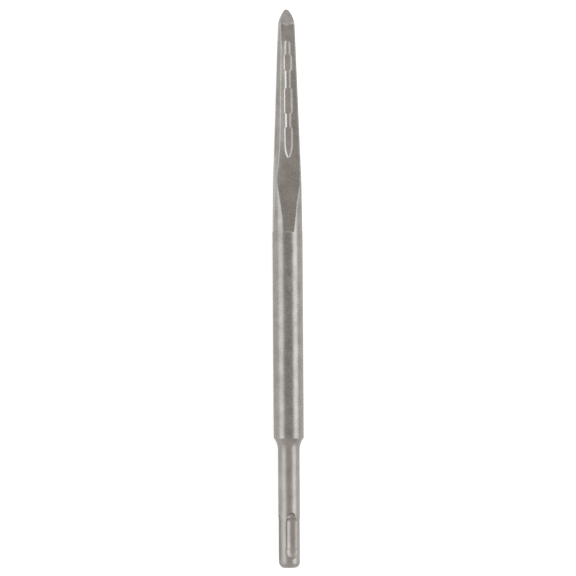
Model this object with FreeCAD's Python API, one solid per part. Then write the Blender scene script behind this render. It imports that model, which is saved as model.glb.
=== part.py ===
import FreeCAD
import Part

import math
import os

# Bull point chisel for a rotary hammer, forged, turned and ground from one steel bar.
# The tool lies along Y: the flat end of the shank is at y = 0 and the tip points to +Y.
# The four faces of its point look up, down, left and right. Millimetres throughout.

NODE = "chisel"

# Shank: a 10 mm round, with a shoulder that sweeps out to the body
overall_length = 258.0
shank_diameter = 10.0
shank_length = 54.3
shoulder_radius = 9.0
shoulder_edge = 0.25
end_flat_diameter = 6.8
end_round_length = 2.6

# Body: a plain round bar
body_diameter = 14.0

# Turn of the shank's grooves and slots from the faces of the point, in degrees
shank_turn = 5.5

# Closed grooves on the top and bottom of the shank, for the locking balls
ball_radius = 3.75
ball_groove_depth = 1.85
ball_groove_start = 7.7
ball_groove_end = 20.9
ball_seat_radius = 4.2
ball_seat_depth = 2.05
ball_lead_in_depth = 1.15
ball_lead_in_end = 22.9

# Open slots on the left and right of the shank, for the driving keys
slot_floor_width = 3.6
slot_mouth_width = 4.6
slot_depth = 1.6
slot_length = 22.0

# Four-sided point, with lengths counted back from the tip
point_length = 103.0
flats_at_root = 13.3
flats_at_grind = 7.0
corners_at_peak = 15.9
corners_at_grind = 9.15
peak_from_tip = 80.8

# Ground end of the point
grind_length = 7.2
grind_angle = 6.5
apex_radius = 1.3

# Sunk recess along the middle of each face: narrow necks between wide stretches
recess_start = 14.8
recess_end = 68.6
recess_neck = 2.0
recess_belly = 3.4
recess_depth = 0.45
recess_wall_width = 0.85
recess_end_width = 1.3
recess_step_length = 1.4
recess_bellies = ((22.0, 27.6), (37.5, 47.5), (55.6, 62.4))

# Soft corners beside the recesses, on one diagonal of the point only
soft_corner_angle = 24.5
soft_corner_start = 20.0
soft_corner_end = 60.5
soft_corner_fade_in = 15.0
soft_corner_fade_out = 21.0
corner_blend = 0.55

# Sizes that follow from the ones above
shank_radius = shank_diameter / 2
body_radius = body_diameter / 2
point_root = overall_length - point_length
recess_wall_angle = math.atan2(recess_depth, recess_wall_width)
face_slope = (flats_at_root - flats_at_grind) / 2 / (point_length - grind_length)
taper_angle = math.degrees(math.atan(face_slope))

# Margin by which cutting shapes stand clear of the metal
CLEAR = 2.0
# Sections along each end of a soft corner, where it fades
FADE_STEPS = 6

ORIGIN = FreeCAD.Vector(0, 0, 0)
X_AXIS = FreeCAD.Vector(1, 0, 0)
Y_AXIS = FreeCAD.Vector(0, 1, 0)
Z_AXIS = FreeCAD.Vector(0, 0, 1)


def point(x, y, z=0.0):
    return FreeCAD.Vector(x, y, z)


def line(start, end):
    return Part.makeLine(start, end)


def arc_on(centre, start, end):
    """The short arc from start to end about centre."""
    radius = (start - centre).Length
    middle = (start - centre) + (end - centre)
    middle.normalize()
    return Part.Arc(start, centre + middle * radius, end).toShape()


def solid_of_revolution(edges):
    """Turn a closed outline of the XY plane about the tool's axis."""
    return Part.Face(Part.Wire(edges)).revolve(ORIGIN, Y_AXIS, 360)


def face_half_width(from_tip):
    """Distance from the axis to a face of the point."""
    return flats_at_grind / 2 + face_slope * (from_tip - grind_length)


def turned_bar():
    """Shank, shoulder and body, up to the root of the point."""
    end_flat = end_flat_diameter / 2
    end_drop = shank_radius - end_flat
    end_radius = (end_drop ** 2 + end_round_length ** 2) / (2 * end_drop)
    end_centre = point(shank_radius - end_radius, end_round_length)

    # The shoulder is an arc that leaves the shank along the axis and reaches the body's edge
    sweep_centre = point(shank_radius + shoulder_radius, shank_length)
    edge_radius = body_radius - shoulder_edge
    reach = shank_radius + shoulder_radius - edge_radius
    shoulder_rise = math.sqrt(shoulder_radius ** 2 - reach ** 2)
    shoulder_top = point(edge_radius, shank_length + shoulder_rise)

    corners = [
        point(0, 0),
        point(end_flat, 0),
        point(shank_radius, end_round_length),
        point(shank_radius, shank_length),
        shoulder_top,
        point(body_radius, shoulder_top.y + shoulder_edge),
        point(body_radius, point_root),
        point(0, point_root),
    ]
    return solid_of_revolution([
        line(corners[0], corners[1]),
        arc_on(end_centre, corners[1], corners[2]),
        line(corners[2], corners[3]),
        arc_on(sweep_centre, corners[3], corners[4]),
        line(corners[4], corners[5]),
        line(corners[5], corners[6]),
        line(corners[6], corners[7]),
        line(corners[7], corners[0]),
    ])


def corner_envelope():
    """Turned outline that trims the point's corners: it swells from the body, then tapers."""
    peak_radius = corners_at_peak / 2
    grind_radius = corners_at_grind / 2
    swell = peak_radius - body_radius
    run = point_length - peak_from_tip
    swell_radius = (swell ** 2 + run ** 2) / (2 * swell)
    swell_centre = point(body_radius + swell_radius, point_root)
    fall = (peak_radius - grind_radius) / (peak_from_tip - grind_length)
    tip_radius = grind_radius - fall * grind_length

    root = point(body_radius, point_root)
    peak = point(peak_radius, overall_length - peak_from_tip)
    tip = point(tip_radius, overall_length)
    return solid_of_revolution([
        line(point(0, point_root), root),
        arc_on(swell_centre, root, peak),
        line(peak, tip),
        line(tip, point(0, overall_length)),
        line(point(0, overall_length), point(0, point_root)),
    ])


def soft_corner(half, tilt):
    """Outline points of a softened corner: two flats, with the start and end of their blend.

    The corner is the one at (-half, half). Each flat leaves its face in line with the rim of
    the recess's necks, tilts away from it, and meets the other on the diagonal.
    """
    land = (recess_neck + recess_wall_width) / 2
    slope = math.tan(math.radians(tilt))
    diagonal = (half + land * slope) / (1 + slope)
    on_side = point(-half, land)
    on_top = point(-land, half)
    knee = point(-diagonal, diagonal)
    share = corner_blend / (on_top - knee).Length
    return on_side, knee + (on_side - knee) * share, knee + (on_top - knee) * share, on_top


def blend_arc(start, end, tilt):
    """The blend between a softened corner's two flats, which meet it symmetrically."""
    turn = math.radians(90 - 2 * tilt)
    chord = end - start
    outward = point(-chord.y, chord.x)
    outward.normalize()
    bulge = chord.Length / 2 * math.tan(turn / 4)
    return Part.Arc(start, (start + end) / 2 + outward * bulge, end).toShape()


def square_section(from_tip, tilt):
    """Section of the point: a square whose left-top and right-bottom corners are softened."""
    half = face_half_width(from_tip)
    left = soft_corner(half, tilt)
    right = [corner * -1 for corner in left]
    edges = []
    for corner, next_side, sharp in (
        (left, right, point(half, half)),
        (right, left, point(-half, -half)),
    ):
        edges.append(line(corner[0], corner[1]))
        edges.append(blend_arc(corner[1], corner[2], tilt))
        edges.append(line(corner[2], corner[3]))
        edges.append(line(corner[3], sharp))
        edges.append(line(sharp, next_side[0]))
    section = Part.Wire(edges)
    section.rotate(ORIGIN, X_AXIS, 90)
    section.translate(point(0, overall_length - from_tip))
    return section


def tapered_square():
    """The four tapering faces, with the soft corners that fade out past both ends of the recess."""
    shares = [step / FADE_STEPS for step in range(FADE_STEPS + 1)]
    stations = [(0.0, 0.0)]
    for share in shares:
        eased = math.sin(math.pi / 2 * share)
        from_tip = soft_corner_start - soft_corner_fade_in * (1 - share)
        stations.append((from_tip, soft_corner_angle * eased))
    for share in shares:
        eased = (1 + math.cos(math.pi * share)) / 2
        stations.append((soft_corner_end + soft_corner_fade_out * share, soft_corner_angle * eased))
    stations.append((point_length, 0.0))
    return Part.makeLoft([square_section(*station) for station in stations], True, True)


def grinding_prism():
    """Space left by grinding two opposite faces of the tip: an ogive with a blunt apex."""
    lean = math.radians(grind_angle)
    start_half = flats_at_grind / 2
    back = grind_length - apex_radius
    numerator = back ** 2 + start_half ** 2 - apex_radius ** 2
    ogive_radius = numerator / (2 * (start_half * math.cos(lean) - back * math.sin(lean) - apex_radius))
    centre_half = start_half - ogive_radius * math.cos(lean)
    centre_back = grind_length + ogive_radius * math.sin(lean)
    centre = point(centre_half, overall_length - centre_back)
    apex_centre = point(0, overall_length - apex_radius)

    # The arc runs a little past the face it grinds, then the prism opens well clear of it
    past = math.radians((grind_angle + taper_angle) / 2)
    start = centre + point(math.cos(past), math.sin(past)) * ogive_radius
    outward = apex_centre - centre
    outward.normalize()
    touch = centre + outward * ogive_radius
    wide = corners_at_peak
    right = [
        line(point(wide, point_root - CLEAR), point(wide, start.y - CLEAR)),
        line(point(wide, start.y - CLEAR), start),
        arc_on(centre, start, touch),
    ]
    mirror = [edge.mirror(ORIGIN, X_AXIS) for edge in right]
    cap = Part.Arc(touch, point(0, overall_length), point(-touch.x, touch.y)).toShape()
    base = line(point(-wide, point_root - CLEAR), point(wide, point_root - CLEAR))
    outline = Part.Wire(Part.__sortEdges__(right + [cap] + mirror + [base]))
    prism = Part.Face(outline).extrude(point(0, 0, 2 * wide))
    prism.translate(point(0, 0, -wide))
    return prism


def recess_edge(grow):
    """One long side of the recess's outline, from its rounded start to its narrow end.

    x is the distance from the face's middle line and y runs back from the tip. The outline
    is grown by a distance, so that the same form gives the rim and the floor.
    """
    neck = recess_neck / 2 + grow
    belly = recess_belly / 2 + grow
    half_reach = 0.5 * recess_step_length

    def step(x_from, x_to, y_from):
        y_to = y_from + recess_step_length
        curve = Part.BezierCurve()
        curve.setPoles([
            point(x_from, y_from),
            point(x_from, y_from + half_reach),
            point(x_to, y_to - half_reach),
            point(x_to, y_to),
        ])
        return curve.toShape()

    edges = []
    y = recess_start + recess_neck / 2
    for begin, end in recess_bellies:
        edges.append(line(point(neck, y), point(neck, begin - recess_step_length)))
        edges.append(step(neck, belly, begin - recess_step_length))
        edges.append(line(point(belly, begin), point(belly, end)))
        y = end
        if end != recess_bellies[-1][1]:
            edges.append(step(belly, neck, end))
            y = end + recess_step_length

    # The last belly closes to a narrow blunt end
    last = recess_end + grow
    curve = Part.BezierCurve()
    curve.setPoles([
        point(belly, y),
        point(belly, y + (recess_end - y) / 2),
        point(recess_end_width / 2 + grow, last),
        point(0, last),
    ])
    edges.append(curve.toShape())
    return edges


def recess_outline(grow, height):
    """Closed outline of the recess at a height above the face, with y turned towards the tip."""
    side = recess_edge(grow)
    other = [edge.mirror(ORIGIN, X_AXIS) for edge in side]
    centre_y = recess_start + recess_neck / 2
    radius = recess_neck / 2 + grow
    cap = Part.Arc(
        point(-radius, centre_y), point(0, centre_y - radius), point(radius, centre_y)
    ).toShape()
    outline = Part.Wire([cap] + side + other[::-1])
    outline.rotate(ORIGIN, X_AXIS, 180)
    outline.translate(point(0, 0, height))
    return outline


def recess_cutter():
    """The recess on the upper face, with sloping walls, tilted to the taper of the face."""
    half_wall = recess_wall_width / 2
    clear_grow = half_wall + CLEAR / 4 / math.tan(recess_wall_angle)
    rim = recess_outline(clear_grow, CLEAR / 4)
    floor = recess_outline(-half_wall, -recess_depth)
    cutter = Part.makeLoft([rim, floor], True, True)
    cutter.rotate(ORIGIN, X_AXIS, -taper_angle)
    cutter.translate(point(0, overall_length, face_half_width(0)))
    return cutter


def ball_pocket(radius, depth, y):
    """A ball sunk into the top of the shank."""
    return Part.makeSphere(radius, point(0, y, shank_radius - depth + radius))


def ball_groove():
    """Closed groove on the top of the shank: a round channel, its seat and its lead-in."""
    height = shank_radius - ball_groove_depth + ball_radius
    channel = Part.makeCylinder(
        ball_radius, ball_groove_end - ball_groove_start, point(0, ball_groove_start, height), Y_AXIS
    )
    return channel.multiFuse([
        ball_pocket(ball_radius, ball_groove_depth, ball_groove_end),
        ball_pocket(ball_radius, ball_lead_in_depth, ball_lead_in_end),
        ball_pocket(ball_seat_radius, ball_seat_depth, ball_groove_start),
    ])


def drive_slot():
    """Open slot on the top of the shank: sloping walls, and a round end left by the cutter."""
    floor_half = slot_floor_width / 2
    mouth_half = slot_mouth_width / 2
    floor_height = shank_radius - slot_depth
    mouth_height = math.sqrt(shank_radius ** 2 - mouth_half ** 2)
    wall_slope = (mouth_half - floor_half) / (mouth_height - floor_height)
    top_height = shank_radius + CLEAR
    top_half = floor_half + wall_slope * (top_height - floor_height)
    outline = Part.makePolygon([
        point(-floor_half, -CLEAR, floor_height),
        point(floor_half, -CLEAR, floor_height),
        point(top_half, -CLEAR, top_height),
        point(-top_half, -CLEAR, top_height),
        point(-floor_half, -CLEAR, floor_height),
    ])
    channel = Part.Face(outline).extrude(point(0, slot_length + CLEAR, 0))
    run_out = Part.makeCone(
        floor_half, top_half, top_height - floor_height, point(0, slot_length, floor_height), Z_AXIS
    )
    return channel.fuse(run_out)


def turned_copies(shape, angles):
    """Copies of a shape, turned about the tool's axis."""
    copies = []
    for angle in angles:
        copy = shape.copy()
        copy.rotate(ORIGIN, Y_AXIS, angle)
        copies.append(copy)
    return copies


def forged_point():
    """Square point with trimmed corners, ground tip and a recess on each face."""
    prism = grinding_prism()
    prisms = turned_copies(prism, (0, 90))
    forged = corner_envelope().common(tapered_square())
    for ground in prisms:
        forged = forged.common(ground)
    return forged


def chisel():
    """The whole tool as one solid."""
    bar = turned_bar().fuse(forged_point())
    cutters = turned_copies(recess_cutter(), (0, 90, 180, 270))
    cutters += turned_copies(ball_groove(), (shank_turn, shank_turn + 180))
    cutters += turned_copies(drive_slot(), (shank_turn + 90, shank_turn + 270))
    finished = bar.cut(cutters).removeSplitter()
    return finished.Solids[0]


os.makedirs("parts", exist_ok=True)
solid = chisel()
solid.exportStep(os.path.join("parts", NODE + ".step"))
print(NODE, "valid", solid.isValid(), "volume", round(solid.Volume, 1), "faces", len(solid.Faces))
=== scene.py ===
import math

import bpy
from bpy.props import FloatProperty, PointerProperty, StringProperty
from mathutils import Matrix, Vector


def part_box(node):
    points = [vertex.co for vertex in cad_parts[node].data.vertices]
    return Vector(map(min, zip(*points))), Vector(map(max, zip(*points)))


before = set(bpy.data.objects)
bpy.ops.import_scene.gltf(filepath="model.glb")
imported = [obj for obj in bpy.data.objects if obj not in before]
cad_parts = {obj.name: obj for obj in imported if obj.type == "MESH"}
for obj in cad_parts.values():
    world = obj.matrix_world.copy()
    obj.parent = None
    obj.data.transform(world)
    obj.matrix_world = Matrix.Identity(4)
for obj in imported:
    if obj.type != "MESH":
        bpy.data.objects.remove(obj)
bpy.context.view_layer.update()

bl_info = {
    "name": "Bull point chisel",
    "version": (1, 0, 0),
    "blender": (4, 5, 0),
    "location": "View3D > Sidebar > Chisel",
    "description": "Finishes a forged bull point chisel and sets it in a plain studio",
    "category": "Object",
}

MM = 0.001
TOOL = "chisel"
TOOL_LOW, TOOL_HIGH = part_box(TOOL)
TIP_Y = TOOL_HIGH.y
TOOL_MIDDLE = (TOOL_LOW + TOOL_HIGH) / 2

# The studio, in m: sizes, where the card begins to pale and has paled fully towards each end
# of the tool from its middle, and how far off the panels stand
FLOOR_SIDE = 8.0
CARD_LENGTH = 5.0
CARD_TIP_START, CARD_TIP_FULL = 0.2, 0.4
CARD_SHANK_START, CARD_SHANK_FULL = 0.1, 0.45
PANEL_DISTANCE = 1.0
VIEW_END = 20.0
# The part along the tool of the directions in which the room is darkest, and begins to darken
ROOM_END_FULL, ROOM_END_START = -0.9, -0.2


# Helpers

def srgb(hex_colour):
    """Linear red, green, blue and alpha of an sRGB hex colour such as #A09890."""
    channels = []
    for start in (1, 3, 5):
        value = int(hex_colour[start:start + 2], 16) / 255
        channels.append(value / 12.92 if value <= 0.04045 else ((value + 0.055) / 1.055) ** 2.4)
    return (*channels, 1.0)


def add_node(tree, kind, settings=None, links=None):
    """Add a node, set its properties and socket values, and link its inputs.

    settings gives node attributes by name and input values by socket name or number;
    links gives, for an input, the output socket that feeds it.
    """
    node = tree.nodes.new(kind)
    for key, value in (settings or {}).items():
        if isinstance(key, str) and hasattr(node, key):
            setattr(node, key, value)
        else:
            node.inputs[key].default_value = value
    for key, socket in (links or {}).items():
        tree.links.new(socket, node.inputs[key])
    return node


def new_material(name):
    """An empty node material with its output node."""
    material = bpy.data.materials.new(name)
    material.use_nodes = True
    material.node_tree.nodes.clear()
    output = material.node_tree.nodes.new("ShaderNodeOutputMaterial")
    return material, material.node_tree, output


# Finishes

# The part of a noise's range that most of it lies in
NOISE_LOW, NOISE_HIGH = 0.3, 0.7
# Lengths over which one finish fades into the next
TURNED_FADE = 3 * MM
WALL_FADE = 4 * MM
GROUND_FADE = 0.2 * MM
RIM_FADE = 0.08 * MM
# Spread of the recess walls' normals, and of the recess floors' depth
WALL_NORMAL_SPREAD = 0.095
FLOOR_DEPTH_SPREAD = 0.1 * MM
# Least part across the tool of the recess floors' normals
FLOOR_NORMAL = 0.98
# Noise strays about a quarter of its range from its middle, so this brings it to full reach
CHIP_GAIN = 4
# Rays that look for an edge, and how far the normal turns there, as a dot product
EDGE_SAMPLES = 8
EDGE_NONE, EDGE_FULL = 0.9975, 0.989
# Where the painted shade in the grooves lies: share of facing sideways against backwards, and the
# sum of the two
SIDEWAYS_SHARE = 0.6
SHADE_NONE, SHADE_FULL = 0.02, 0.2
# On the grooves' end walls: how far they face backwards, and their depth under the rim
END_WALL_NONE, END_WALL_FULL = 0.3, 0.5
END_WALL_DEEPEST, END_WALL_DEEP = 0.45 * MM, 0.25 * MM
# The shank's end gets no painted shade
UNSHADED_TO, SHADED_FROM = 1.8 * MM, 3.5 * MM
# Distances along the tool to which the run-out's radius is full, and at which it is gone
RUN_OUT_FULL, RUN_OUT_GONE = 11 * MM, 15 * MM


def two_tone(tree, pattern, dark, light):
    """Colour that runs between two tones as a noise pattern does."""
    blend = add_node(tree, "ShaderNodeMapRange", {
        "From Min": NOISE_LOW, "From Max": NOISE_HIGH,
    }, {"Value": pattern})
    mixed = add_node(tree, "ShaderNodeMix", {
        "data_type": "RGBA", 6: srgb(dark), 7: srgb(light),
    }, {0: blend.outputs["Result"]})
    return mixed.outputs[2]


def away_from(tree, along, middle):
    """Distance along the tool from a place on it."""
    offset = add_node(tree, "ShaderNodeMath", {"operation": "SUBTRACT", 1: middle}, {0: along})
    distance = add_node(tree, "ShaderNodeMath", {"operation": "ABSOLUTE"}, {
        0: offset.outputs["Value"],
    })
    return distance.outputs["Value"]


def painted_wall_highlight(tree, settings, point, normal):
    """Mask of the recess walls beside the two softened corners, which get a painted highlight.

    They are the faces there whose normals have one product of their parts across the tool.
    """
    product = add_node(tree, "ShaderNodeMath", {"operation": "MULTIPLY"}, {
        0: normal.outputs["X"], 1: normal.outputs["Z"],
    })
    walls = add_node(tree, "ShaderNodeMath", {
        "operation": "COMPARE", 1: settings.wall_normal, 2: WALL_NORMAL_SPREAD,
    }, {0: product.outputs["Value"]})
    distance = away_from(tree, point.outputs["Y"], TIP_Y - settings.wall_middle * MM)
    reach = settings.wall_reach * MM
    beside = add_node(tree, "ShaderNodeMapRange", {
        "From Min": reach + WALL_FADE, "From Max": reach,
    }, {"Value": distance})
    wall_highlight = add_node(tree, "ShaderNodeMath", {"operation": "MULTIPLY"}, {
        0: walls.outputs["Value"], 1: beside.outputs["Result"],
    })
    return wall_highlight.outputs["Value"]


def recess_floors(tree, settings, coordinates, point):
    """Mask of the recess floors, which keep a paler forged skin.

    They lie at the recesses' depth under the sloping faces, and face outwards as those do.
    """
    largest = {}
    for name in ("Object", "Normal"):
        size = add_node(tree, "ShaderNodeVectorMath", {"operation": "ABSOLUTE"}, {
            0: coordinates.outputs[name],
        })
        parts = add_node(tree, "ShaderNodeSeparateXYZ", {}, {"Vector": size.outputs["Vector"]})
        largest[name] = add_node(tree, "ShaderNodeMath", {"operation": "MAXIMUM"}, {
            0: parts.outputs["X"], 1: parts.outputs["Z"],
        }).outputs["Value"]
    face = add_node(tree, "ShaderNodeMapRange", {
        "clamp": False,
        "From Min": TIP_Y - settings.flats_length * MM,
        "From Max": TIP_Y - settings.ground_length * MM,
        "To Min": settings.flats_at_root / 2 * MM,
        "To Max": settings.flats_at_grind / 2 * MM,
    }, {"Value": point.outputs["Y"]})
    depth = add_node(tree, "ShaderNodeMath", {"operation": "SUBTRACT"}, {
        0: face.outputs["Result"], 1: largest["Object"],
    })
    sunk = add_node(tree, "ShaderNodeMath", {
        "operation": "COMPARE", 1: settings.recess_depth * MM, 2: FLOOR_DEPTH_SPREAD,
    }, {0: depth.outputs["Value"]})
    outwards = add_node(tree, "ShaderNodeMath", {"operation": "GREATER_THAN", 1: FLOOR_NORMAL}, {
        0: largest["Normal"],
    })
    floors = add_node(tree, "ShaderNodeMath", {"operation": "MULTIPLY"}, {
        0: sunk.outputs["Value"], 1: outwards.outputs["Value"],
    })
    return floors.outputs["Value"]


def ground_tip(tree, settings, place, point):
    """Mask of the ground tip, its colour, and the marks that the grinding leaves.

    The tip begins on a slightly ragged line, with a bright burr along it.
    """
    # The marks run across the tool, so their pattern is squeezed along it
    squeezed = add_node(tree, "ShaderNodeMapping", {
        "Scale": (1.0, settings.mark_stretch, 1.0),
    }, {"Vector": place})
    marks = add_node(tree, "ShaderNodeTexNoise", {
        "Scale": 1 / (settings.mark_length * MM), "Detail": 3.0, "Roughness": 0.6,
    }, {"Vector": squeezed.outputs["Vector"]}).outputs["Fac"]
    plain = two_tone(tree, marks, settings.ground_dark, settings.ground_light)

    chips = add_node(tree, "ShaderNodeTexNoise", {
        "Scale": 1 / (settings.chip_size * MM), "Detail": 1.0,
    }, {"Vector": place}).outputs["Fac"]
    reach = CHIP_GAIN * settings.ragged_edge * MM
    ragged = add_node(tree, "ShaderNodeMath", {"operation": "MULTIPLY_ADD", 1: reach}, {
        0: chips, 2: point.outputs["Y"],
    })
    start = TIP_Y - settings.ground_length * MM + reach / 2
    ground = add_node(tree, "ShaderNodeMapRange", {
        "From Min": start, "From Max": start + GROUND_FADE,
    }, {"Value": ragged.outputs["Value"]})
    burr_start = start + GROUND_FADE / 2
    burr = add_node(tree, "ShaderNodeMapRange", {
        "From Min": burr_start + settings.burr_width * MM, "From Max": burr_start,
    }, {"Value": ragged.outputs["Value"]})
    colour = add_node(tree, "ShaderNodeMix", {"data_type": "RGBA", 7: srgb(settings.burr)}, {
        0: burr.outputs["Result"], 6: plain,
    })
    return ground.outputs["Result"], colour.outputs[2], marks


def painted_groove_shade(tree, settings, coordinates, point, normal):
    """Mask of the painted shade in the shank's grooves, on rims and walls turned away from the
    light.

    It is a dark line just inside their rims, at their inner ends and along one side. An edge
    shows as a normal that turns within the line's width.
    """
    rim = add_node(tree, "ShaderNodeBevel", {
        "samples": EDGE_SAMPLES, "Radius": settings.groove_shade_width * MM,
    })
    straight = add_node(tree, "ShaderNodeVectorMath", {"operation": "DOT_PRODUCT"}, {
        0: rim.outputs["Normal"], 1: coordinates.outputs["Normal"],
    })
    at_edge = add_node(tree, "ShaderNodeMapRange", {
        "From Min": EDGE_NONE, "From Max": EDGE_FULL,
    }, {"Value": straight.outputs["Value"]})
    backwards = add_node(tree, "ShaderNodeMath", {"operation": "MULTIPLY", 1: -1.0}, {
        0: normal.outputs["Y"],
    })
    upper = add_node(tree, "ShaderNodeMath", {"operation": "SIGN"}, {0: point.outputs["Z"]})
    sideways = add_node(tree, "ShaderNodeMath", {"operation": "MULTIPLY"}, {
        0: upper.outputs["Value"], 1: normal.outputs["X"],
    })
    turned_away = add_node(tree, "ShaderNodeMath", {
        "operation": "MULTIPLY_ADD", 1: SIDEWAYS_SHARE,
    }, {0: sideways.outputs["Value"], 2: backwards.outputs["Value"]})
    shaded = add_node(tree, "ShaderNodeMapRange", {
        "From Min": SHADE_NONE, "From Max": SHADE_FULL,
    }, {"Value": turned_away.outputs["Value"]})
    line = add_node(tree, "ShaderNodeMath", {"operation": "MULTIPLY"}, {
        0: at_edge.outputs["Result"], 1: shaded.outputs["Result"],
    })

    # The painted shade also lies on the steep walls at the grooves' inner ends, a little under the
    # rim
    across = add_node(tree, "ShaderNodeVectorMath", {"operation": "MULTIPLY", 1: (1, 0, 1)}, {
        0: coordinates.outputs["Object"],
    })
    from_axis = add_node(tree, "ShaderNodeVectorMath", {"operation": "LENGTH"}, {
        0: across.outputs["Vector"],
    })
    radius = settings.shank_radius * MM
    high = add_node(tree, "ShaderNodeMapRange", {
        "From Min": radius - END_WALL_DEEPEST, "From Max": radius - END_WALL_DEEP,
    }, {"Value": from_axis.outputs["Value"]})
    facing_end = add_node(tree, "ShaderNodeMapRange", {
        "From Min": END_WALL_NONE, "From Max": END_WALL_FULL,
    }, {"Value": backwards.outputs["Value"]})
    end_wall = add_node(tree, "ShaderNodeMath", {"operation": "MULTIPLY"}, {
        0: facing_end.outputs["Result"], 1: high.outputs["Result"],
    })

    groove_shade = add_node(tree, "ShaderNodeMath", {"operation": "MAXIMUM"}, {
        0: line.outputs["Value"], 1: end_wall.outputs["Value"],
    })
    inside = add_node(tree, "ShaderNodeMapRange", {
        "From Min": radius, "From Max": radius - RIM_FADE,
    }, {"Value": from_axis.outputs["Value"]})
    past_end = add_node(tree, "ShaderNodeMapRange", {
        "From Min": UNSHADED_TO, "From Max": SHADED_FROM,
    }, {"Value": point.outputs["Y"]})
    for limit in (inside, past_end):
        groove_shade = add_node(tree, "ShaderNodeMath", {"operation": "MULTIPLY"}, {
            0: groove_shade.outputs["Value"], 1: limit.outputs["Result"],
        })
    return groove_shade.outputs["Value"]


def steel_roughness(tree, settings, grain, turned, ground):
    """Roughness of the steel, in which each grain is a little duller or brighter than the next."""
    spread = settings.roughness_spread
    forged, shank = (
        add_node(tree, "ShaderNodeMapRange", {
            "From Min": NOISE_LOW, "From Max": NOISE_HIGH,
            "To Min": middle - spread, "To Max": middle + spread,
        }, {"Value": grain}).outputs["Result"]
        for middle in (settings.forged_roughness, settings.turned_roughness)
    )
    unground = add_node(tree, "ShaderNodeMix", {"data_type": "FLOAT"}, {
        0: turned, 2: forged, 3: shank,
    })
    roughness = add_node(tree, "ShaderNodeMix", {
        "data_type": "FLOAT", 3: settings.ground_roughness,
    }, {0: ground, 2: unground.outputs[0]})
    return roughness.outputs[0]


def rounded_edges(tree, settings, point):
    """Normal with every edge rounded a little, and most where the flats run out."""
    distance = away_from(tree, point.outputs["Y"], TIP_Y - settings.run_out_middle * MM)
    radius = add_node(tree, "ShaderNodeMapRange", {
        "From Min": RUN_OUT_FULL, "From Max": RUN_OUT_GONE,
        "To Min": settings.run_out_radius * MM, "To Max": settings.edge_radius * MM,
    }, {"Value": distance})
    edge = add_node(tree, "ShaderNodeBevel", {"samples": EDGE_SAMPLES}, {
        "Radius": radius.outputs["Result"],
    })
    return edge.outputs["Normal"]


def forged_steel(settings):
    """Alloy tool steel: forged and shot-blasted, with a ground tip and a turned shank.

    The blasting leaves a satin warm grey with a fine grain, mottled where the scale came off
    unevenly. The ground tip is lighter and rougher, with marks across the tool. The turned
    shank is lighter too, and the floors of the recesses keep a paler forged skin.
    """
    material, tree, output = new_material("shot_blasted_forged_steel")
    coordinates = add_node(tree, "ShaderNodeTexCoord")
    place = coordinates.outputs["Object"]
    point = add_node(tree, "ShaderNodeSeparateXYZ", {}, {"Vector": place})
    normal = add_node(tree, "ShaderNodeSeparateXYZ", {}, {"Vector": coordinates.outputs["Normal"]})

    # Broad patches where the scale came off unevenly, the blasted grain, and finer peened pits
    patches, grain, pits = (
        add_node(tree, "ShaderNodeTexNoise", {
            "Scale": 1 / (size * MM), "Detail": detail, "Roughness": 0.6,
        }, {"Vector": place}).outputs["Fac"]
        for size, detail in (
            (settings.patch_size, 4.0), (settings.grain_size, 2.0), (settings.pit_size, 1.0))
    )
    mottle = add_node(tree, "ShaderNodeMix", {"data_type": "FLOAT", 0: settings.grain_share}, {
        2: patches, 3: grain,
    }).outputs[0]
    forged_colour = two_tone(tree, mottle, settings.forged_dark, settings.forged_light)
    turned_colour = two_tone(tree, mottle, settings.turned_dark, settings.turned_light)
    pale_colour = two_tone(tree, mottle, settings.pale_dark, settings.pale_light)

    # The shank is turned up to the shoulder, where the blasting fades in
    turned_end = settings.turned_length * MM
    turned = add_node(tree, "ShaderNodeMapRange", {
        "From Min": turned_end, "From Max": turned_end - TURNED_FADE,
    }, {"Value": point.outputs["Y"]}).outputs["Result"]
    ground, ground_colour, marks = ground_tip(tree, settings, place, point)

    # Painted shade: the grooves' rims and end walls that turn away from the light are darkened
    turned_with_shade = add_node(tree, "ShaderNodeMix", {"data_type": "RGBA", 7: srgb(settings.groove_shade)}, {
        0: painted_groove_shade(tree, settings, coordinates, point, normal), 6: turned_colour,
    })
    colour = add_node(tree, "ShaderNodeMix", {"data_type": "RGBA"}, {
        0: turned, 6: forged_colour, 7: turned_with_shade.outputs[2],
    })
    colour = add_node(tree, "ShaderNodeMix", {"data_type": "RGBA"}, {
        0: recess_floors(tree, settings, coordinates, point), 6: colour.outputs[2],
        7: pale_colour,
    })
    # Painted highlight: the recess walls beside the softened corners are made lighter
    colour = add_node(tree, "ShaderNodeMix", {"data_type": "RGBA", 7: srgb(settings.wall_highlight)}, {
        0: painted_wall_highlight(tree, settings, point, normal), 6: colour.outputs[2],
    })
    colour = add_node(tree, "ShaderNodeMix", {"data_type": "RGBA"}, {
        0: ground, 6: colour.outputs[2], 7: ground_colour,
    })

    # The relief is the grain and pits, and on the ground tip the marks
    uneven = add_node(tree, "ShaderNodeMath", {"operation": "ADD"}, {0: grain, 1: pits})
    relief = add_node(tree, "ShaderNodeMix", {"data_type": "FLOAT"}, {
        0: ground, 2: uneven.outputs["Value"], 3: marks,
    })
    bump = add_node(tree, "ShaderNodeBump", {
        "Strength": settings.relief_strength, "Distance": settings.relief_depth * MM,
    }, {"Height": relief.outputs[0], "Normal": rounded_edges(tree, settings, point)})
    shader = add_node(tree, "ShaderNodeBsdfPrincipled", {"Metallic": 1.0}, {
        "Base Color": colour.outputs[2],
        "Roughness": steel_roughness(tree, settings, grain, turned, ground),
        "Normal": bump.outputs["Normal"],
    })
    tree.links.new(shader.outputs["BSDF"], output.inputs["Surface"])
    return material


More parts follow.
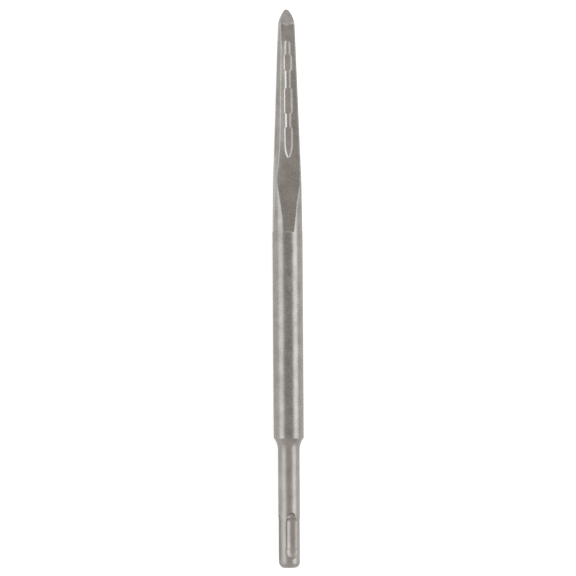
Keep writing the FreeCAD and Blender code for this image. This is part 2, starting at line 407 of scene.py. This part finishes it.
def studio_floor(settings):
    """Matt painted board. It looks white to the camera, and still shows the tool's shadow."""
    material, tree, output = new_material("matt_white_board")
    paint = add_node(tree, "ShaderNodeBsdfDiffuse", {"Color": srgb(settings.floor_colour)})
    rays = add_node(tree, "ShaderNodeLightPath")
    seen = add_node(tree, "ShaderNodeMath", {
        "operation": "MULTIPLY_ADD", 1: settings.floor_in_metal,
    }, {0: rays.outputs["Is Glossy Ray"], 2: rays.outputs["Is Camera Ray"]})
    lift = add_node(tree, "ShaderNodeMath", {"operation": "MULTIPLY", 1: settings.floor_lift}, {
        0: seen.outputs["Value"],
    })
    glow = add_node(tree, "ShaderNodeEmission", {}, {"Strength": lift.outputs["Value"]})
    both = add_node(tree, "ShaderNodeAddShader", {}, {
        0: paint.outputs["BSDF"], 1: glow.outputs["Emission"],
    })
    tree.links.new(both.outputs["Shader"], output.inputs["Surface"])
    return material


def dark_card(settings):
    """Grey card over the tool, which the top of the steel reflects as a darker band.

    It gives off an even light, darkest over the tool's middle and paler towards both ends.
    """
    material, tree, output = new_material("matt_grey_card")
    place = add_node(tree, "ShaderNodeTexCoord").outputs["Object"]
    along = add_node(tree, "ShaderNodeSeparateXYZ", {}, {"Vector": place})
    forward = add_node(tree, "ShaderNodeMapRange", {
        "From Min": TOOL_MIDDLE.y + CARD_TIP_START, "From Max": TOOL_MIDDLE.y + CARD_TIP_FULL,
        "To Min": 1.0, "To Max": settings.card_tip_level,
    }, {"Value": along.outputs["Y"]})
    backward = add_node(tree, "ShaderNodeMapRange", {
        "From Min": TOOL_MIDDLE.y - CARD_SHANK_START,
        "From Max": TOOL_MIDDLE.y - CARD_SHANK_FULL,
        "To Min": 1.0, "To Max": settings.card_shank_level,
    }, {"Value": along.outputs["Y"]})
    level = add_node(tree, "ShaderNodeMath", {"operation": "MULTIPLY"}, {
        0: forward.outputs["Result"], 1: backward.outputs["Result"],
    })
    card = add_node(tree, "ShaderNodeEmission", {"Color": srgb(settings.card_colour)}, {
        "Strength": level.outputs["Value"],
    })
    tree.links.new(card.outputs["Emission"], output.inputs["Surface"])
    return material


# Settings

class ChiselFinishSettings(bpy.types.PropertyGroup):
    """Sizes and colours of the steel's finish."""

    forged_dark: StringProperty(
        name="Forged dark", description="sRGB hex of the darker forged steel", default="#827D78")
    forged_light: StringProperty(
        name="Forged light", description="sRGB hex of the lighter forged steel", default="#A29D98")
    turned_dark: StringProperty(
        name="Turned dark", description="sRGB hex of the darker turned steel", default="#89847F")
    turned_light: StringProperty(
        name="Turned light", description="sRGB hex of the lighter turned steel", default="#A5A09B")
    ground_dark: StringProperty(
        name="Ground dark", description="sRGB hex of the grinding marks", default="#85807C")
    ground_light: StringProperty(
        name="Ground light", description="sRGB hex of the ground steel", default="#AAA6A1")
    pale_dark: StringProperty(
        name="Pale dark", description="sRGB hex of the darker forged skin in the recesses",
        default="#8A857F")
    pale_light: StringProperty(
        name="Pale light", description="sRGB hex of the lighter forged skin in the recesses",
        default="#ABA6A0")
    flats_length: FloatProperty(
        name="Flats length", description="Length of the sloping faces, in mm from the tip",
        default=103.0, min=1.0)
    flats_at_root: FloatProperty(
        name="Flats at root", description="Distance across the faces at their root, in mm",
        default=13.3, min=0.1)
    flats_at_grind: FloatProperty(
        name="Flats at grind", description="Distance across the faces at the ground tip, in mm",
        default=7.0, min=0.1)
    recess_depth: FloatProperty(
        name="Recess depth", description="Depth of the recesses in the faces, in mm",
        default=0.45, min=0.01)
    # Colour of the painted highlight on the recess walls beside the softened corners
    wall_highlight: StringProperty(
        name="Wall highlight", description="sRGB hex of the recess walls that the dies rub bright",
        default="#A9A5A1")
    wall_normal: FloatProperty(
        name="Wall normal",
        description="Product of the parts across the tool of those walls' normals",
        default=0.385, min=0.0, max=0.5)
    wall_middle: FloatProperty(
        name="Wall middle", description="Middle of those walls, in mm from the tip",
        default=46.0, min=0.0)
    wall_reach: FloatProperty(
        name="Wall reach", description="Length of those walls each way from their middle, in mm",
        default=22.5, min=0.0)
    # Colour and width of the painted shade on the grooves' rims and end walls
    groove_shade: StringProperty(
        name="Groove shade", description="sRGB hex of old grease inside the grooves' rims",
        default="#5A5652")
    groove_shade_width: FloatProperty(
        name="Grease width", description="Width of the line of grease, in mm",
        default=0.45, min=0.01)
    shank_radius: FloatProperty(
        name="Shank radius", description="Radius of the shank that the grooves are cut in, in mm",
        default=4.97, min=0.1)
    patch_size: FloatProperty(
        name="Patch size", description="Size of the mottled patches, in mm", default=6.0, min=0.5)
    grain_size: FloatProperty(
        name="Grain size", description="Size of the blasted grain, in mm", default=0.6, min=0.1)
    grain_share: FloatProperty(
        name="Grain share", description="Share of the grain in the mottling",
        default=0.45, min=0.0, max=1.0, subtype="FACTOR")
    pit_size: FloatProperty(
        name="Pit size", description="Size of the peened pits in the grain, in mm",
        default=0.25, min=0.05)
    forged_roughness: FloatProperty(
        name="Forged roughness", description="Roughness of the blasted steel",
        default=0.28, min=0.1, max=1.0, subtype="FACTOR")
    turned_roughness: FloatProperty(
        name="Turned roughness", description="Roughness of the turned shank",
        default=0.38, min=0.1, max=1.0, subtype="FACTOR")
    roughness_spread: FloatProperty(
        name="Roughness spread", description="How much the grain changes the roughness",
        default=0.05, min=0.0, max=0.2)
    ground_roughness: FloatProperty(
        name="Ground roughness", description="Roughness of the ground tip",
        default=0.42, min=0.1, max=1.0, subtype="FACTOR")
    turned_length: FloatProperty(
        name="Turned length", description="Length of the turned shank, in mm",
        default=58.0, min=1.0)
    edge_radius: FloatProperty(
        name="Edge radius", description="Radius that blasting gives most edges, in mm",
        default=0.08, min=0.0)
    run_out_radius: FloatProperty(
        name="Run-out radius", description="Radius where the flats run out into the body, in mm",
        default=0.9, min=0.0)
    run_out_middle: FloatProperty(
        name="Run-out middle", description="Middle of the run-out edges, in mm from the tip",
        default=91.0, min=1.0)
    ground_length: FloatProperty(
        name="Ground length", description="Length of the ground tip, in mm", default=7.2, min=1.0)
    ragged_edge: FloatProperty(
        name="Ragged edge", description="Unevenness of the edge of the ground tip, in mm",
        default=0.8, min=0.0)
    chip_size: FloatProperty(
        name="Chip size", description="Size of the chips along that edge, in mm",
        default=1.1, min=0.1)
    burr: StringProperty(
        name="Burr", description="sRGB hex of the burr along that edge", default="#BDB9B5")
    burr_width: FloatProperty(
        name="Burr width", description="Width of that burr, in mm", default=0.6, min=0.01)
    mark_length: FloatProperty(
        name="Mark length", description="Length of a grinding mark, in mm", default=2.0, min=0.1)
    mark_stretch: FloatProperty(
        name="Mark stretch", description="How much longer than wide a grinding mark is",
        default=6.0, min=1.0)
    relief_depth: FloatProperty(
        name="Relief depth", description="Depth of the surface's relief, in mm",
        default=0.03, min=0.0)
    relief_strength: FloatProperty(
        name="Relief strength", description="Strength of the surface's relief",
        default=0.5, min=0.0, max=1.0, subtype="FACTOR")


class ChiselStageSettings(bpy.types.PropertyGroup):
    """Sizes and levels of the studio."""

    view_turn: FloatProperty(
        name="View turn", description="Turn of the camera about the tool's axis",
        default=math.radians(7.7), subtype="ANGLE", unit="ROTATION")
    view_roll: FloatProperty(
        name="View roll", description="Roll of the camera about its own axis",
        default=math.radians(-0.35), subtype="ANGLE", unit="ROTATION")
    view_shift: FloatProperty(
        name="View shift", description="Place of the tool's middle left of the picture's, in mm",
        default=0.1)
    view_rise: FloatProperty(
        name="View rise", description="Place of the tool's middle below the picture's, in mm",
        default=0.2)
    picture_width: FloatProperty(
        name="Picture width", description="Width of the picture at the tool, in m",
        default=0.26635, min=0.05, subtype="DISTANCE", unit="LENGTH")
    lens: FloatProperty(
        name="Lens", description="Focal length of the camera, in mm", default=200.0, min=20.0)
    floor_colour: StringProperty(
        name="Floor colour", description="sRGB hex of the floor", default="#C8C7C5")
    floor_lift: FloatProperty(
        name="Floor lift", description="Light added to the floor as the camera sees it",
        default=0.62, min=0.0)
    floor_in_metal: FloatProperty(
        name="Floor in metal", description="Share of that light that the metal reflects",
        default=0.8, min=0.0, max=1.0, subtype="FACTOR")
    card_colour: StringProperty(
        name="Card colour", description="sRGB hex of the dark card overhead", default="#C0BDBC")
    card_tip_level: FloatProperty(
        name="Card tip level", description="Level of the card past the tip, against its middle",
        default=1.75, min=0.0)
    card_shank_level: FloatProperty(
        name="Card shank level", description="Level of the card past the shank, against its middle",
        default=1.65, min=0.0)
    card_width: FloatProperty(
        name="Card width", description="Width of the dark card overhead, in m",
        default=2.35, min=0.1, subtype="DISTANCE", unit="LENGTH")
    card_turn: FloatProperty(
        name="Card turn", description="Turn of the card and the panels about the tool",
        default=math.radians(2), subtype="ANGLE", unit="ROTATION")
    card_height: FloatProperty(
        name="Card height", description="Height of the dark card above the tool, in m",
        default=1.9, min=0.5, subtype="DISTANCE", unit="LENGTH")
    room_end_level: FloatProperty(
        name="Room end level", description="Level of the room towards the shank's end",
        default=0.85, min=0.0, max=1.0, subtype="FACTOR")
    panel_angle: FloatProperty(
        name="Panel angle", description="Angle of the light panels from straight above",
        default=math.radians(58), subtype="ANGLE", unit="ROTATION")
    panel_width: FloatProperty(
        name="Panel width", description="Width of each light panel, in m",
        default=0.66, min=0.05, subtype="DISTANCE", unit="LENGTH")
    panel_length: FloatProperty(
        name="Panel length", description="Length of each light panel, in m",
        default=1.8, min=0.05, subtype="DISTANCE", unit="LENGTH")
    panel_forward: FloatProperty(
        name="Panel forward", description="Place of the panels past the tool's middle, in m",
        default=0.3, subtype="DISTANCE", unit="LENGTH")
    panel_colour: StringProperty(
        name="Panel colour", description="sRGB hex of the panels' light", default="#F1FBFF")
    panel_power: FloatProperty(
        name="Panel power", description="Mean power of the light panels, in W",
        default=4.9, min=0.0, unit="POWER")
    panel_balance: FloatProperty(
        name="Panel balance", description="How much stronger the right panel is than the mean",
        default=0.13, min=-1.0, max=1.0)


# Pieces

class CHISEL_OT_tool(bpy.types.Operator):
    """Give the forged tool its steel"""

    bl_idname = "chisel.tool"
    bl_label = "Finish the tool"

    def execute(self, context):
        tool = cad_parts[TOOL]
        steel = forged_steel(context.scene.chisel_finish)
        for slot in tool.material_slots:
            slot.material = steel
        return {"FINISHED"}


def stage_plane(name, size, centre, out, material):
    """A rectangle of the studio, width by length along the tool, that faces along out."""
    along = Vector((0, 1, 0))
    across = along.cross(out)
    corners = [
        centre + across * (sx * size[0] / 2) + along * (sy * size[1] / 2)
        for sx, sy in ((-1, -1), (1, -1), (1, 1), (-1, 1))
    ]
    mesh = bpy.data.meshes.new(name)
    mesh.from_pydata(corners, [], [(0, 1, 2, 3)])
    mesh.materials.append(material)
    plane = bpy.data.objects.new(name, mesh)
    bpy.context.scene.collection.objects.link(plane)
    return plane


def direction(settings, angle):
    """Direction from the tool, across it, at an angle from the camera's own direction."""
    total = angle - settings.view_turn
    return Vector((math.sin(total), 0, math.cos(total)))


def facing(out):
    """Turn that points a camera or lamp against out, with its upright along the tool."""
    along = Vector((0, 1, 0))
    return Matrix((along.cross(out), along, out)).transposed().to_4x4()


class CHISEL_OT_stage(bpy.types.Operator):
    """Build the floor, the soft studio light and the camera"""

    bl_idname = "chisel.stage"
    bl_label = "Build the studio"

    def execute(self, context):
        scene = context.scene
        settings = scene.chisel_stage
        up = Vector((0, 0, 1))
        under_tool = Vector((TOOL_MIDDLE.x, TOOL_MIDDLE.y, TOOL_LOW.z))
        stage_plane("floor", (FLOOR_SIDE, FLOOR_SIDE), under_tool, up, studio_floor(settings))
        over = direction(settings, settings.card_turn)
        card = stage_plane(
            "dark_card", (settings.card_width, CARD_LENGTH),
            TOOL_MIDDLE + over * settings.card_height, -over, dark_card(settings))
        card.visible_camera = False
        self.add_world(scene, settings)
        for side, name in ((-1, "panel_left"), (1, "panel_right")):
            self.add_panel(scene, settings, name, side)
        self.add_camera(scene, settings)
        scene.view_settings.view_transform = "Standard"
        return {"FINISHED"}

    def add_world(self, scene, settings):
        """An even white room, a little darker towards the shank's end of the tool."""
        world = bpy.data.worlds.new("studio")
        scene.world = world
        world.use_nodes = True
        tree = world.node_tree
        towards = add_node(tree, "ShaderNodeTexCoord").outputs["Generated"]
        along = add_node(tree, "ShaderNodeSeparateXYZ", {}, {"Vector": towards})
        level = add_node(tree, "ShaderNodeMapRange", {
            "From Min": ROOM_END_FULL, "From Max": ROOM_END_START,
            "To Min": settings.room_end_level, "To Max": 1.0,
        }, {"Value": along.outputs["Y"]})
        rays = add_node(tree, "ShaderNodeLightPath")
        seen = add_node(tree, "ShaderNodeMath", {"operation": "MAXIMUM"}, {
            0: level.outputs["Result"], 1: rays.outputs["Is Camera Ray"],
        })
        tree.links.new(seen.outputs["Value"], tree.nodes["Background"].inputs["Strength"])
        tree.nodes["Background"].inputs["Color"].default_value = (1.0, 1.0, 1.0, 1.0)

    def add_panel(self, scene, settings, name, side):
        """A long light panel beside the tool, square to the line from the tool."""
        lamp = bpy.data.lights.new(name, "AREA")
        lamp.shape = "RECTANGLE"
        lamp.size = settings.panel_width
        lamp.size_y = settings.panel_length
        lamp.color = srgb(settings.panel_colour)[:3]
        lamp.energy = settings.panel_power * (1 + side * settings.panel_balance)
        panel = bpy.data.objects.new(name, lamp)
        out = direction(settings, side * settings.panel_angle + settings.card_turn)
        place = TOOL_MIDDLE + out * PANEL_DISTANCE + Vector((0, settings.panel_forward, 0))
        panel.matrix_world = Matrix.Translation(place) @ facing(out)
        scene.collection.objects.link(panel)

    def add_camera(self, scene, settings):
        """A long lens over the tool, turned a little about its axis."""
        data = bpy.data.cameras.new("camera")
        data.lens = settings.lens
        camera = bpy.data.objects.new("camera", data)
        distance = settings.picture_width / data.sensor_width * settings.lens
        back = direction(settings, 0)
        turn = facing(back)
        across = turn.col[0].to_3d()
        shift = across * settings.view_shift + Vector((0, settings.view_rise, 0))
        place = TOOL_MIDDLE + back * distance + shift * MM
        camera.matrix_world = (
            Matrix.Translation(place) @ turn @ Matrix.Rotation(settings.view_roll, 4, "Z"))
        data.clip_end = VIEW_END
        scene.collection.objects.link(camera)
        scene.camera = camera


class CHISEL_PT_panel(bpy.types.Panel):
    """Sidebar panel that lists the pieces and their settings"""

    bl_label = "Bull point chisel"
    bl_idname = "CHISEL_PT_panel"
    bl_space_type = "VIEW_3D"
    bl_region_type = "UI"
    bl_category = "Chisel"

    def draw(self, context):
        layout = self.layout
        for operator in PIECES:
            layout.operator(operator.bl_idname)
        for group in (context.scene.chisel_finish, context.scene.chisel_stage):
            column = layout.column()
            for name in group.__annotations__:
                column.prop(group, name)


PIECES = (CHISEL_OT_tool, CHISEL_OT_stage)
CLASSES = (ChiselFinishSettings, ChiselStageSettings, *PIECES, CHISEL_PT_panel)


def register():
    for cls in CLASSES:
        bpy.utils.register_class(cls)
    bpy.types.Scene.chisel_finish = PointerProperty(type=ChiselFinishSettings)
    bpy.types.Scene.chisel_stage = PointerProperty(type=ChiselStageSettings)


def unregister():
    del bpy.types.Scene.chisel_stage
    del bpy.types.Scene.chisel_finish
    for cls in reversed(CLASSES):
        bpy.utils.unregister_class(cls)


def main():
    register()
    bpy.ops.chisel.tool()
    bpy.ops.chisel.stage()


if __name__ == "__main__":
    main()
